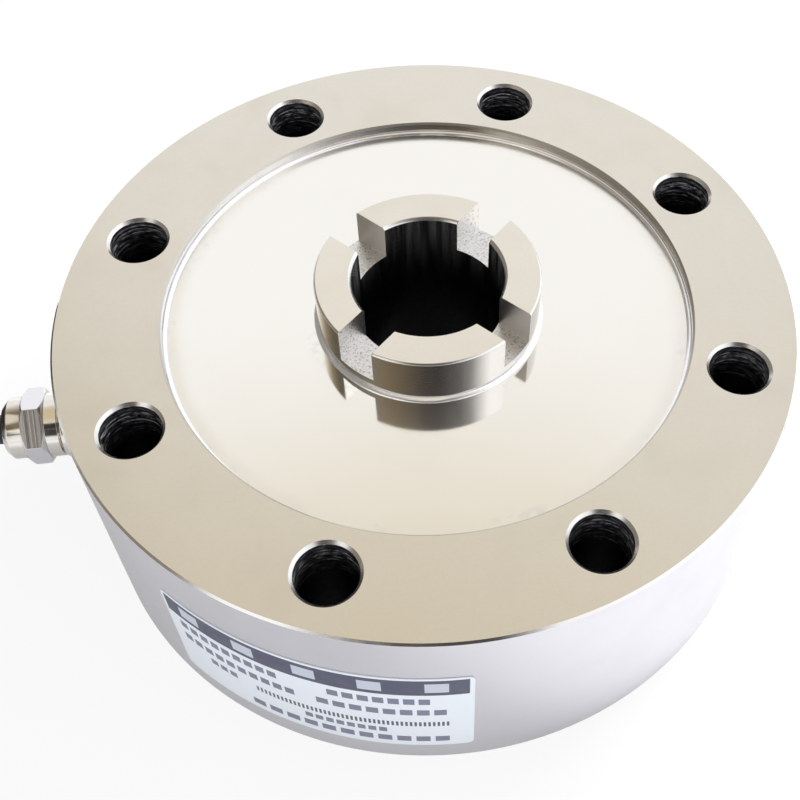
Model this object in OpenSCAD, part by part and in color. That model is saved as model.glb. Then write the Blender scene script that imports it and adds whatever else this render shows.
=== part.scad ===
// Pancake load cell: a one-piece spring element of rim, four spokes and slotted hub,
// closed by two welded covers, with a compression gland and a free cable.
// The origin is the centre of the rest face. +Z is the load axis and the gland points to -X.

/* [Body] */
// Outside diameter of the rim
body_d = 106; // [104:0.5:111]
// Height of the rim
body_h = 38; // [37:0.5:42]
// Chamfer of the rim's upper edge
rim_top_chamfer = 0.3; // [0.2:0.1:0.8]
// Chamfer of the rim's lower edge
rim_foot_chamfer = 0.5; // [0.3:0.1:1.2]

/* [Hub] */
// Diameter of the hub above and below the covers
hub_d = 32; // [30:0.5:33]
// Height of the hub's loading face above the rim
hub_rise = 6; // [5:0.5:9]
// Distance of the hub's underside from the rest face
hub_gap = 1; // [0.5:0.1:1.5]
// Bore of the hub
bore_d = 21.5; // [20:0.5:23]
// Chamfer of the hub's outer edges
hub_chamfer = 0.25; // [0.15:0.05:0.8]
// Chamfer of the bore
bore_chamfer = 0.45; // [0.2:0.05:0.8]

/* [Hub slots] */
// Number of slots in the loading face
slot_count = 4; // [2:1:6]
// Width of a slot
slot_w = 5.8; // [4.5:0.1:7]
// Depth of a slot
slot_depth = 5.8; // [4.6:0.1:7]

/* [Mounting holes] */
// Number of mounting holes
bolt_count = 8; // [4:2:8]
// Distance of a mounting hole's centre from the rim's outer wall
bolt_edge = 8; // [7.5:0.1:8.5]
// Diameter of a mounting hole
bolt_hole_d = 8.4; // [6.4:0.1:9]
// Chamfer of a mounting hole
bolt_chamfer = 0.5; // [0.2:0.1:0.8]

/* [Covers and welds] */
// Width of the rim's face, from its outer wall to the recess
rim_w = 15; // [14.5:0.1:16]
// Width of the ledge that a cover lies on
ledge_w = 5; // [4:0.1:6]
// Distance of a cover's outer face from the rim's face
cover_sink = 1.9; // [1.6:0.1:2.2]
// Thickness of a cover
cover_t = 1.2; // [0.8:0.1:1.6]
// Gap between a cover's edge and the recess or hub
cover_gap = 0.05; // [0.02:0.01:0.2]
// Radius of a weld bead
weld_r = 0.6; // [0.4:0.05:1.1]

/* [Spokes] */
// Number of spokes
spoke_count = 4; // [4:2:6]
// Width of a spoke
spoke_w = 10; // [8:0.5:12]
// Room between a spoke and a cover
spoke_room = 4.9; // [4.5:0.1:6]
// Width of the hub's shoulder that a cover lies on
shoulder_w = 3; // [2:0.1:4]
// Fillet where a spoke meets the rim and the hub
spoke_fillet = 2.5; // [1:0.1:3]

/* [Strain gauges] */
// Length of a gauge's backing film
gauge_l = 5; // [4:0.5:8]
// Height of a gauge's backing film
gauge_h = 6; // [5:0.5:8]
// Thickness of a gauge's backing film
gauge_t = 0.12; // [0.1:0.01:0.2]
// Side of the measuring grid
grid_w = 2.5; // [1.5:0.1:3]
// Length of a solder terminal
terminal_l = 4; // [3:0.5:6]
// Height of a solder terminal
terminal_h = 2.5; // [2:0.1:3.2]
// Thickness of a solder terminal
terminal_t = 0.6; // [0.4:0.1:0.8]
// Thickness of a lead wire between a terminal and the board
lead_d = 0.6; // [0.4:0.1:0.8]

/* [Bridge board] */
// Thickness of the ring-shaped board
board_t = 1; // [0.8:0.1:1.6]
// Width of the board's ring
board_w = 6.5; // [6:0.1:10]
// Gap between the board and the hub
board_gap = 1.5; // [1.2:0.1:2]
// Width of the notch that the cable's cores come up through
notch_w = 8; // [7:0.5:9]
// Depth of that notch
notch_depth = 1.5; // [1:0.1:2]
// Diameter of a trimming resistor's ends
resistor_d = 2.2; // [1.8:0.1:2.4]
// Length of a trimming resistor's body
resistor_l = 5; // [4:0.5:6]

/* [Cable gland] */
// Height of the gland's axis
gland_z = 17.5; // [16:0.5:20]
// Diameter of the spot face under the gland
spot_d = 12.5; // [12:0.5:14]
// Distance of the spot face below the rim's wall
spot_depth = 0.5; // [0.5:0.1:0.8]
// Diameter of the gland's thread
thread_d = 8; // [7.5:0.1:8.5]
// Gap between a threaded piece and its hole
thread_gap = 0.05; // [0.02:0.01:0.1]
// Depth of the threaded port in the rim
port_depth = 9; // [8:0.5:10]
// Length of the shank inside the port
shank_l = 8; // [6:0.5:8.5]
// Diameter of the cable passage
passage_d = 5.4; // [5.2:0.1:5.8]
// Diameter of the sealing washer
washer_d = 11; // [10.6:0.1:12]
// Thickness of the sealing washer
washer_t = 0.6; // [0.4:0.1:1]
// Diameter of the gland body's flange
flange_d = 10.2; // [9.8:0.1:11]
// Thickness of the gland body's flange
flange_t = 3; // [2.5:0.1:3.5]
// Length of the sleeve that the nut screws on
sleeve_l = 4.6; // [4:0.1:5]
// Gap between the flange and the nut
nut_gap = 0.3; // [0.2:0.1:0.5]
// Diameter of the nut's round collar
collar_d = 9.8; // [9.4:0.1:10.2]
// Length of the nut's round collar
collar_l = 1.9; // [1:0.1:2.5]
// Width of the nut across its flats
nut_flats = 10.2; // [10:0.1:11]
// Length of the nut's hexagon
nut_hex_l = 3.4; // [2.5:0.1:4]
// Turn of the nut about the gland's axis
nut_turn = 49.4; // [0:0.1:59]
// Diameter of the nut's round cap
cap_d = 9.4; // [9:0.1:9.8]
// Length of the nut's round cap
cap_l = 3; // [2.5:0.1:3.5]
// Chamfer of the nut's cap
cap_chamfer = 0.9; // [0.4:0.1:1.2]
// Thickness of the thrust washer inside the nut
thrust_t = 0.5; // [0.4:0.1:0.6]
// Thickness of the seal's wall
seal_wall = 0.9; // [0.7:0.05:1]

/* [Label] */
// Width of the label along the wall
label_w = 44; // [30:0.5:50]
// Height of the label
label_h = 23; // [16:0.5:26]
// Height of the label's lower edge
label_z = 5.2; // [3:0.1:8]
// Direction of the label's middle, counted from +X
label_turn = 246; // [235:0.5:260]
// Thickness of the label
label_t = 0.15; // [0.1:0.05:0.2]

/* [Cable] */
// Diameter of the cable
cable_d = 4.5; // [4:0.1:5]
// Diameter of a core
core_wire_d = 1; // [0.8:0.1:1.1]
// Columns of turns in the coil
coil_columns = 3; // [2:1:4]
// Layers of turns in the coil
coil_layers = 6; // [4:1:7]
// Width of the cable tie
tie_w = 2.6; // [2:0.1:4]
// Thickness of the cable tie
tie_t = 0.7; // [0.5:0.1:0.7]

/* [Hidden] */
$fn = 96;
eps = 0.01;
far = 200;

SPOKES = [for (i = [1:spoke_count]) i];

// Heights and radii that follow from the sizes above
body_r = body_d / 2;
hub_r = hub_d / 2;
bore_r = bore_d / 2;
core_r = hub_r + shoulder_w;
recess_r = body_r - rim_w;
cavity_r = recess_r - ledge_w;
bolt_r = body_r - bolt_edge;
hub_top_z = body_h + hub_rise;
cover_depth = cover_sink + cover_t;
top_ledge_z = body_h - cover_depth;
spoke_low_z = cover_depth + spoke_room;
spoke_top_z = top_ledge_z - spoke_room;
spoke_h = spoke_top_z - spoke_low_z;
spoke_mid_z = (spoke_low_z + spoke_top_z) / 2;
recess_edge = 0.3;

// Spokes and slots lie half a step from the gland
spoke_turn = 180 / spoke_count;
slot_turn = 180 / slot_count;
bolt_turn = 180 / bolt_count;

// A spoke's flat stretch, along the spoke, between its fillets
fillet_r = min(spoke_fillet, (cavity_r - core_r) / 5);
fillet_y = spoke_w / 2 + fillet_r;
hub_fillet_x = sqrt(pow(core_r + fillet_r, 2) - pow(fillet_y, 2));
rim_fillet_x = sqrt(pow(cavity_r - fillet_r, 2) - pow(fillet_y, 2));
gauge_x = (hub_fillet_x + rim_fillet_x) / 2;
tab_l = 1.2;
foil_t = 0.05;
terminal_rise = 0.6;
terminal_z = spoke_mid_z + gauge_h / 2 + terminal_rise;
lead_spread = terminal_l / 4;
lead_foot_z = terminal_z + terminal_h / 2;

board_in_r = core_r + board_gap;
board_out_r = board_in_r + board_w;
board_mid_r = (board_in_r + board_out_r) / 2;
board_top_z = spoke_top_z + board_t;
pad_h = 0.1;
notch_x = board_out_r - notch_depth;

// Places along the gland, as distances from the cell's axis
spot_x = body_r - spot_depth;
flange_x = spot_x + washer_t;
sleeve_x = flange_x + flange_t;
sleeve_end_x = sleeve_x + sleeve_l;
nut_x = sleeve_x + nut_gap;
hex_x = nut_x + collar_l;
cap_x = hex_x + nut_hex_l;
nut_end_x = cap_x + cap_l;
nut_wall = 1;
thrust_x = nut_end_x - nut_wall - thrust_t;
nut_chamfer = 0.6;
sleeve_r = thread_d / 2 - thread_gap;
seal_gap = 0.05;
seal_in_r = cable_d / 2 + seal_gap;
seal_out_r = seal_in_r + seal_wall;
seal_seat_x = sleeve_end_x - 1.8;
seal_x = seal_seat_x + seal_gap;
seal_pocket_r = seal_out_r + 0.5;
mouth_r = seal_in_r + 0.15;

// The jacket ends just inside the cavity, clear of where its cores climb to the board
core_climb_x = notch_x + core_wire_d / 2 + 0.15;
jacket_end_x = max(cavity_r - 1.5, core_climb_x + 2);

// Route of the free cable from the nut to the coil
CABLE_ROUTE = [
    [-64.7, 0, 17.5], [-67.3, 0, 17.5], [-70.3, 0, 17.5], [-73.3, 0, 17.5], [-75.8, 0, 17.5],
    [-78.8, 0, 17.2], [-81.8, 0, 16.5], [-84.8, 0, 15.1], [-87.8, 0, 12.9], [-90.5, 0, 9.9],
    [-93.2, 0, 6.9], [-96.2, 0, 4.7], [-99.2, 0, 3.3], [-102.2, 0, 2.5], [-105.2, 0, 2.25],
    [-108.8, 0, 2.25], [-112.8, 0, 2.25], [-117.3, 0, 2.25], [-121.8, 0, 2.25]
];
CABLE_SIDES = 10;

// The coil lies on the floor beside the end of that route, wound clockwise from below
coil_x = -121.8;
coil_mid_r = 27;
coil_w = coil_columns * cable_d;
coil_h = coil_layers * cable_d;
coil_out_r = coil_mid_r + coil_w / 2;
coil_y = coil_out_r - cable_d / 2;
tail_end = -36;
tail_angle = 90;
core_start = 0.4;
core_fan = 32;
lead_in_gap = 0.1;
tie_turn = 225;
tie_gap = 0.05;
tie_band = tie_t + 2 * tie_gap;
tie_corner = 1;
tie_head_l = 4.6;
tie_head_t = 3.2;
tie_head_w = tie_w + 1.6;

// Ring with a rectangular section
module ring(r_in, r_out, z, h) {
    translate([0, 0, z])
        difference() {
            cylinder(r = r_out, h = h);
            translate([0, 0, -1]) cylinder(r = r_in, h = h + 2);
        }
}

// Turns a shape that stands on +Z so that it points along -X at the gland's height
module on_gland(x) {
    translate([-x, 0, gland_z]) rotate([0, -90, 0]) children();
}

// Copies a shape round the Z axis
module around(count, turn) {
    for (i = [0:count - 1]) rotate([0, 0, turn + 360 / count * i]) children();
}

module rounded_rect(w, h, r) {
    square([w - 2 * r, h], center = true);
    square([w, h - 2 * r], center = true);
    for (x = [-1, 1], y = [-1, 1]) translate([x * (w / 2 - r), y * (h / 2 - r)]) circle(r = r);
}

// Rim, turned, with a ledge for each cover
module rim_profile() {
    polygon([
        [cavity_r, cover_depth], [recess_r, cover_depth],
        [recess_r, recess_edge], [recess_r + recess_edge, 0],
        [body_r - rim_foot_chamfer, 0], [body_r, rim_foot_chamfer],
        [body_r, body_h - rim_top_chamfer], [body_r - rim_top_chamfer, body_h],
        [recess_r + recess_edge, body_h], [recess_r, body_h - recess_edge],
        [recess_r, top_ledge_z], [cavity_r, top_ledge_z]
    ]);
}

// Hub, turned, with a shoulder under each cover
module hub_profile() {
    polygon([
        [bore_r, hub_gap + bore_chamfer], [bore_r + bore_chamfer, hub_gap],
        [hub_r - hub_chamfer, hub_gap], [hub_r, hub_gap + hub_chamfer],
        [hub_r, cover_depth], [core_r, cover_depth],
        [core_r, top_ledge_z], [hub_r, top_ledge_z],
        [hub_r, hub_top_z - hub_chamfer], [hub_r - hub_chamfer, hub_top_z],
        [bore_r + bore_chamfer, hub_top_z], [bore_r, hub_top_z - bore_chamfer]
    ]);
}

// Fillet between a spoke's side and a round wall of radius r at the fillet's centre x
module spoke_corner(x, wall_r, side) {
    reach = wall_r + side * 0.6;
    foot = spoke_w / 2 - 0.5;
    turn = atan2(fillet_y, x);
    difference() {
        linear_extrude(height = spoke_h)
            polygon([
                [x, foot], [sqrt(pow(reach, 2) - pow(foot, 2)), foot],
                [reach * cos(turn), reach * sin(turn)], [x, fillet_y]
            ]);
        translate([x, fillet_y, -1]) cylinder(r = fillet_r, h = spoke_h + 2, $fn = 48);
    }
}

module spoke() {
    overlap = 1;
    translate([core_r - overlap, -spoke_w / 2, spoke_low_z])
        cube([cavity_r - core_r + 2 * overlap, spoke_w, spoke_h]);
    for (flip = [0, 1])
        mirror([0, flip, 0])
            translate([0, 0, spoke_low_z]) {
                spoke_corner(rim_fillet_x, cavity_r, 1);
                spoke_corner(hub_fillet_x, core_r, -1);
            }
}

module bolt_hole() {
    translate([bolt_r, 0, 0]) {
        translate([0, 0, -1]) cylinder(d = bolt_hole_d, h = body_h + 2);
        hole_mouth();
        translate([0, 0, body_h]) mirror([0, 0, 1]) hole_mouth();
    }
}

module hole_mouth() {
    translate([0, 0, -eps])
        cylinder(d1 = bolt_hole_d + 2 * (bolt_chamfer + eps), d2 = bolt_hole_d, h = bolt_chamfer + eps);
}

module hub_slot() {
    translate([bore_r / 2, -slot_w / 2, hub_top_z - slot_depth]) cube([hub_r, slot_w, slot_depth + 1]);
}

module gland_port() {
    on_gland(spot_x) cylinder(d = spot_d, h = 5);
    on_gland(spot_x - port_depth) cylinder(d = thread_d, h = port_depth + 1);
    on_gland(cavity_r - 2) cylinder(d = passage_d, h = body_r - cavity_r);
}

// Rim, spokes and hub, machined from one billet
module spring_element() {
    color([0.80, 0.77, 0.71])
        difference() {
            union() {
                rotate_extrude() rim_profile();
                rotate_extrude() hub_profile();
                around(spoke_count, spoke_turn) spoke();
            }
            around(bolt_count, bolt_turn) bolt_hole();
            around(slot_count, slot_turn) hub_slot();
            gland_port();
        }
}

module cover(z) {
    color([0.90, 0.88, 0.82]) ring(hub_r + cover_gap, recess_r - cover_gap, z, cover_t);
}

// Weld bead along a corner at radius r, on the outer face of a cover
module weld_bead(r, side) {
    centre_r = r + side * weld_r / 2;
    color([0.86, 0.86, 0.86])
        rotate_extrude()
            intersection() {
                translate([centre_r, 0]) circle(r = weld_r, $fn = 32);
                translate([side > 0 ? r : r - 2 * weld_r, 0]) square([2 * weld_r, weld_r]);
            }
}

module top_weld(r, side) {
    translate([0, 0, body_h - cover_sink]) weld_bead(r, side);
}

module bottom_weld(r, side) {
    translate([0, 0, cover_sink]) mirror([0, 0, 1]) weld_bead(r, side);
}

// Puts a piece on one side face of spoke i, with X along the spoke and Z up
module on_spoke(i, side) {
    rotate([0, 0, spoke_turn + 360 / spoke_count * (i - 1)])
        mirror([0, side, 0])
            translate([gauge_x, spoke_w / 2, 0]) children();
}

// Foil gauge on its film, with the grid at 45 degrees for shear
module strain_gauge(i, side) {
    color([0.80, 0.52, 0.20])
        on_spoke(i, side) {
            translate([-gauge_l / 2, 0, spoke_mid_z - gauge_h / 2]) cube([gauge_l, gauge_t, gauge_h]);
            translate([0, gauge_t - eps, spoke_mid_z])
                rotate([0, 45, 0])
                    translate([-grid_w / 2, 0, -grid_w / 2]) cube([grid_w, foil_t + eps, grid_w]);
            for (x = [-1, 1])
                translate([x * lead_spread - tab_l / 2, gauge_t - eps, spoke_mid_z + gauge_h / 2 - tab_l])
                    cube([tab_l, foil_t + eps, tab_l - 0.2]);
        }
}

module solder_terminals(i) {
    color([0.72, 0.62, 0.35])
        for (side = [0, 1])
            on_spoke(i, side)
                translate([-terminal_l / 2, 0, terminal_z]) cube([terminal_l, terminal_t, terminal_h]);
}

// Two leads at each side of a spoke, from the terminal up to the board
module gauge_leads(i) {
    color([0.75, 0.22, 0.18])
        for (side = [0, 1], x = [-1, 1])
            on_spoke(i, side)
                translate([x * lead_spread, terminal_t + lead_d / 2, lead_foot_z])
                    cylinder(d = lead_d, h = spoke_top_z - lead_foot_z, $fn = 24);
}

// Ring-shaped board that lies on the four spokes
module bridge_board() {
    color([0.10, 0.42, 0.26]) {
        difference() {
            ring(board_in_r, board_out_r, spoke_top_z, board_t);
            translate([-notch_x - far, -notch_w / 2, spoke_top_z - 1]) cube([far, notch_w, board_t + 2]);
        }
        for (y = CORE_PLACES)
            translate([-notch_x + 0.6, y - 0.6, board_top_z - eps]) cube([3, 1.2, pad_h + eps]);
    }
}

// Trimming resistor that lies across the board's ring
module resistor(turn, tint) {
    end_l = 1;
    rise = resistor_d / 2 + 0.3;
    reach = resistor_l / 2 + 1;
    color(tint)
        rotate([0, 0, turn])
            translate([board_mid_r, 0, board_top_z + rise]) {
                rotate([90, 0, 0]) cylinder(d = resistor_d - 0.4, h = resistor_l, center = true, $fn = 32);
                for (side = [-1, 1]) {
                    translate([0, side * (resistor_l - end_l) / 2, 0])
                        rotate([90, 0, 0]) cylinder(d = resistor_d, h = end_l, center = true, $fn = 32);
                    translate([0, side * (resistor_l / 2 + 0.4), 0])
                        rotate([90, 0, 0]) cylinder(d = lead_d, h = 1.4, center = true, $fn = 24);
                    translate([0, side * reach, -rise])
                        cylinder(d = lead_d, h = rise + lead_d / 2, $fn = 24);
                }
            }
}

// Gland body: shank in the rim, round flange and sleeve for the nut
module gland_body() {
    color([0.83, 0.80, 0.72])
        rotate([0, 0, 180])
            translate([0, 0, gland_z])
                rotate([0, 90, 0])
                    rotate_extrude()
                        polygon([
                            [passage_d / 2, spot_x - shank_l], [sleeve_r - 0.5, spot_x - shank_l],
                            [sleeve_r, spot_x - shank_l + 0.5], [sleeve_r, flange_x],
                            [flange_d / 2 - 0.2, flange_x], [flange_d / 2, flange_x + 0.2],
                            [flange_d / 2, sleeve_x - 0.2], [flange_d / 2 - 0.2, sleeve_x],
                            [sleeve_r, sleeve_x], [sleeve_r, sleeve_end_x - 0.3],
                            [sleeve_r - 0.3, sleeve_end_x], [seal_out_r + seal_gap, sleeve_end_x],
                            [seal_out_r + seal_gap, seal_seat_x], [passage_d / 2, seal_seat_x - 0.6]
                        ]);
}

// Hexagon with its corners turned off at both ends
module nut_hexagon() {
    end_r = nut_flats / 2 - 0.1;
    corner_r = nut_flats / 2 / cos(30);
    intersection() {
        cylinder(r = corner_r, h = nut_hex_l, $fn = 6);
        rotate_extrude()
            polygon([
                [0, 0], [end_r, 0], [corner_r + 0.05, nut_chamfer],
                [corner_r + 0.05, nut_hex_l - nut_chamfer], [end_r, nut_hex_l], [0, nut_hex_l]
            ]);
    }
}

// Compression nut: round collar, hexagon and chamfered cap
module gland_nut() {
    nut_l = nut_end_x - nut_x;
    thread_l = sleeve_end_x - nut_x + 0.4;
    color([0.84, 0.81, 0.73])
        on_gland(nut_x)
            difference() {
                union() {
                    cylinder(d = collar_d, h = collar_l + eps);
                    translate([0, 0, collar_l]) rotate([0, 0, nut_turn]) nut_hexagon();
                    translate([0, 0, collar_l + nut_hex_l])
                        rotate_extrude()
                            polygon([
                                [0, -eps], [cap_d / 2, -eps], [cap_d / 2, cap_l - cap_chamfer],
                                [cap_d / 2 - cap_chamfer, cap_l], [0, cap_l]
                            ]);
                }
                translate([0, 0, -1]) cylinder(d = thread_d, h = thread_l + 1);
                translate([0, 0, -1]) cylinder(r = seal_pocket_r, h = nut_l - nut_wall + 1);
                translate([0, 0, -1]) cylinder(r = mouth_r, h = nut_l + 2);
            }
}

module gland_seal() {
    seal_l = thrust_x - seal_gap - seal_x;
    color([0.10, 0.10, 0.10])
        on_gland(seal_x)
            difference() {
                cylinder(r = seal_out_r, h = seal_l);
                translate([0, 0, -1]) cylinder(r = seal_in_r, h = seal_l + 2);
            }
}

module thrust_washer() {
    color([0.92, 0.92, 0.90])
        on_gland(thrust_x)
            difference() {
                cylinder(r = seal_pocket_r - seal_gap, h = thrust_t);
                translate([0, 0, -1]) cylinder(r = mouth_r, h = thrust_t + 2);
            }
}

module sealing_washer() {
    color([0.12, 0.12, 0.12])
        on_gland(spot_x)
            difference() {
                cylinder(d = washer_d, h = washer_t);
                translate([0, 0, -1]) cylinder(d = thread_d, h = washer_t + 2);
            }
}

// Jacketed end of the cable, through the gland and the rim
module inner_cable() {
    color([0.08, 0.08, 0.08]) on_gland(jacket_end_x) cylinder(d = cable_d, h = nut_end_x - jacket_end_x);
}

// Tube with a ring of corners round each point of a route
function unit(v) = v / norm(v);
function heading(route, i) =
    i == 0 ? unit(route[1] - route[0])
    : i == len(route) - 1 ? unit(route[i] - route[i - 1])
    : unit(unit(route[i + 1] - route[i]) + unit(route[i] - route[i - 1]));
function corners(route, i, r, sides, side_way) =
    let (along = heading(route, i))
    let (across = unit(side_way - (side_way * along) * along))
    let (over = cross(along, across))
    [for (k = [0:sides - 1]) route[i] + r * (cos(360 * k / sides) * across + sin(360 * k / sides) * over)];

module tube(route, d, sides, side_way = [0, 1, 0]) {
    rings = len(route);
    points = [for (i = [0:rings - 1]) each corners(route, i, d / 2, sides, side_way)];
    walls = [
        for (i = [0:rings - 2], k = [0:sides - 1])
            let (next = (k + 1) % sides)
            [i * sides + k, (i + 1) * sides + k, (i + 1) * sides + next, i * sides + next]
    ];
    first = [for (k = [0:sides - 1]) k];
    last = [for (k = [sides - 1:-1:0]) (rings - 1) * sides + k];
    polyhedron(points, concat(walls, [first, last]));
}

// Cores of the inner end, from the jacket up through the board's notch to their pads
CORE_PLACES = [-2.7, -0.9, 0.9, 2.7];
CORE_STARTS = [[-0.6, -0.6], [-0.6, 0.6], [0.6, 0.6], [0.6, -0.6]];
core_pad_z = board_top_z + pad_h + core_wire_d / 2 + 0.05;

module inner_core(i, tint) {
    start = CORE_STARTS[i];
    place = CORE_PLACES[i];
    from_z = gland_z + start[1];
    climb = board_top_z - from_z;
    route = [
        [-jacket_end_x, start[0], from_z],
        [-jacket_end_x + 1, start[0], from_z],
        [-core_climb_x - 0.6, start[0] + 0.45 * (place - start[0]), from_z + 0.10 * climb],
        [-core_climb_x, start[0] + 0.8 * (place - start[0]), from_z + 0.30 * climb],
        [-core_climb_x, place, from_z + 0.60 * climb],
        [-core_climb_x, place, board_top_z - 0.1],
        [-notch_x - 0.3, place, core_pad_z - 0.1],
        [-notch_x + 0.6, place, core_pad_z],
        [-notch_x + 2.4, place, core_pad_z]
    ];
    color(tint) tube(route, core_wire_d, 8);
}

// Sticker that follows the wall, with nothing printed on it
module label() {
    turn = label_w / body_r * 180 / PI;
    color([0.88, 0.91, 0.95])
        rotate([0, 0, label_turn - turn / 2])
            rotate_extrude(angle = turn, $fn = 360)
                translate([body_r, label_z]) square([label_t, label_h]);
}

module cable() {
    color([0.08, 0.08, 0.08]) tube(CABLE_ROUTE, cable_d, CABLE_SIDES);
}

// Places a shape at one place of the coil's ring, with X outwards and Y along the turns
module on_coil(turn) {
    translate([coil_x, coil_y, 0]) rotate([0, 0, turn]) translate([coil_mid_r, 0, 0]) children();
}

// Outer shape of the tied coil, with the last stretch of cable lying on it
module cable_coil() {
    color([0.08, 0.08, 0.08]) {
        difference() {
            translate([coil_x, coil_y, 0])
                rotate_extrude()
                    translate([coil_mid_r, coil_h / 2]) rounded_rect(coil_w, coil_h, cable_d / 2);
            translate([coil_x, -far, -1])
                cube([far, far + cable_d / 2 + lead_in_gap, cable_d + lead_in_gap + 1]);
            on_coil(tie_turn)
                translate([0, 0, coil_h / 2])
                    difference() {
                        cube([coil_w + 1, tie_w + 2 * tie_gap, coil_h + 1], center = true);
                        rotate([90, 0, 0])
                            linear_extrude(height = tie_w + 1, center = true)
                                rounded_rect(coil_w - 2 * tie_band, coil_h - 2 * tie_band, tie_corner);
                    }
        }
        translate([coil_x, coil_y, coil_h + cable_d / 2 - eps])
            rotate([0, 0, tail_end])
                rotate_extrude(angle = tail_angle) translate([coil_mid_r, 0]) circle(d = cable_d, $fn = 32);
    }
}

// Tie with its locking head on the coil's outer side
module cable_tie() {
    in_w = coil_w - 2 * tie_t - 2 * tie_gap;
    in_h = coil_h - 2 * tie_t - 2 * tie_gap;
    head_x = coil_w / 2 + tie_gap;
    color([0.12, 0.12, 0.12])
        on_coil(tie_turn)
            translate([0, 0, coil_h / 2]) {
                rotate([90, 0, 0])
                    linear_extrude(height = tie_w, center = true)
                        difference() {
                            rounded_rect(in_w + 2 * tie_t, in_h + 2 * tie_t, tie_corner + tie_t);
                            rounded_rect(in_w, in_h, tie_corner);
                        }
                translate([in_w / 2, -tie_w / 2, 0]) cube([head_x - in_w / 2 + eps, tie_w, tie_head_l]);
                translate([head_x, -tie_head_w / 2, 0]) cube([tie_head_t, tie_head_w, tie_head_l]);
            }
}

// Stripped cores and screen wire at the free end, fanned out on the coil
module cable_cores() {
    fan = [-3.2, -1.6, 0, 1.6, 3.2];
    inside = [[-0.8, -0.8], [-0.8, 0.8], [0, 0], [0.8, 0.8], [0.8, -0.8]];
    tints = [
        [0.75, 0.10, 0.08], [0.08, 0.08, 0.08], [0.75, 0.75, 0.75], [0.10, 0.45, 0.20], [0.92, 0.92, 0.92]
    ];
    from = tail_end - core_start;
    steps = 8;
    rest_z = coil_h + core_wire_d / 2;
    for (i = [0:4]) {
        route = [
            for (k = [0:steps])
                let (t = k / steps, blend = t * t * (3 - 2 * t), turn = from - core_fan * t)
                let (r = coil_mid_r + inside[i][0] * (1 - blend) + fan[i] * blend)
                let (lift = (1 - blend) * (cable_d / 2 - core_wire_d / 2 + inside[i][1]))
                [coil_x + r * cos(turn), coil_y + r * sin(turn), rest_z + lift]
        ];
        color(tints[i]) tube(route, core_wire_d, 8, [0, 0, 1]);
    }
}

spring_element();
cover(top_ledge_z);  // top_cover
cover(cover_sink);  // bottom_cover
top_weld(recess_r, -1);  // top_rim_weld
top_weld(hub_r, 1);  // top_hub_weld
bottom_weld(recess_r, -1);  // bottom_rim_weld
bottom_weld(hub_r, 1);  // bottom_hub_weld
for (i = SPOKES) {
    strain_gauge(i, 0);
    strain_gauge(i, 1);
    solder_terminals(i);
    gauge_leads(i);
}
bridge_board();
resistor(0, [0.30, 0.55, 0.80]);  // zero_resistor
resistor(90, [0.30, 0.55, 0.80]);  // span_resistor
resistor(270, [0.80, 0.45, 0.20]);  // temperature_resistor
gland_body();
gland_nut();
gland_seal();
thrust_washer();
sealing_washer();
inner_cable();
inner_core(0, [0.75, 0.10, 0.08]);  // core_red
inner_core(1, [0.08, 0.08, 0.08]);  // core_black
inner_core(2, [0.10, 0.45, 0.20]);  // core_green
inner_core(3, [0.92, 0.92, 0.92]);  // core_white
label();
cable();
cable_coil();
cable_tie();
cable_cores();
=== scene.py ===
"""Pancake load cell: machined body, welded covers, plated gland, label and cable.

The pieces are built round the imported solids. Lengths are in millimetres unless a name says metres.
"""
import math
import random

import bpy
from mathutils import Matrix, Vector, noise


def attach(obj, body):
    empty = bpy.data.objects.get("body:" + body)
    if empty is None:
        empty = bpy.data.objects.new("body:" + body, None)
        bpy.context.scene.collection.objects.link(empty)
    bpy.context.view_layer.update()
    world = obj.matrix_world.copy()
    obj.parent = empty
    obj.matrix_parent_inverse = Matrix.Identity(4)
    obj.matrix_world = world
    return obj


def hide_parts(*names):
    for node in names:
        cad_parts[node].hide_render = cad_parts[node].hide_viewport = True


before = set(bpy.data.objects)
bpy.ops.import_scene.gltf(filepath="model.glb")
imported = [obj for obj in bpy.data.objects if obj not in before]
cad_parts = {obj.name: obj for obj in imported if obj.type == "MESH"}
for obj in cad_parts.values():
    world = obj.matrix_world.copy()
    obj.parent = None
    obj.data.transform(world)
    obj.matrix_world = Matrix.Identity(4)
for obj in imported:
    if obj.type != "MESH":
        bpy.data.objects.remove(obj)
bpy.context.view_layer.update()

MM = 0.001

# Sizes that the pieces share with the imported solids
BODY_R = 53.0
BODY_H = 38.0
RIM_TOP_EDGE = 0.3
RIM_LOW_EDGE = 0.5
RECESS_R = 38.0
RECESS_EDGE = 0.3
CAVITY_R = 33.0
CAVITY_LOW = 3.1
CORE_R = 19.0
HUB_R = 16.0
HUB_LOW = 1.0
HUB_TOP = 44.0
HUB_EDGE = 0.25
BORE_R = 10.75
BORE_EDGE = 0.45
COVER_LOW = 34.9
COVER_TOP = 36.1
COVER_GAP = 0.05
SPOKE_LOW = 8.0
SPOKE_TALL = 22.0
HOLE_R = 4.2
HOLE_EDGE = 0.42
HOLE_CIRCLE_R = 45.0
HOLE_TURN = 22.5
SLOT_W = 5.8
SLOT_FLOOR = 38.2
GLAND_Z = 17.5
CABLE_D = 4.5
CORE_D = 1.0

# The photograph's camera, as fitted to the outlines of the cell in the picture
CAMERA_PLACE = (-9.763, -111.767, 170.130)
CAMERA_AZIMUTH = math.radians(-9.9)
CAMERA_HEIGHT = math.radians(53.56)
CAMERA_ROLL = math.radians(2.23)
CAMERA_LENS = 53.97
CAMERA_SHIFT = (-0.1154, -0.0201)


def new_object(name, data):
    """Object for some data, put into the scene."""
    obj = bpy.data.objects.new(name, data)
    bpy.context.scene.collection.objects.link(obj)
    return obj


# Camera


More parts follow.
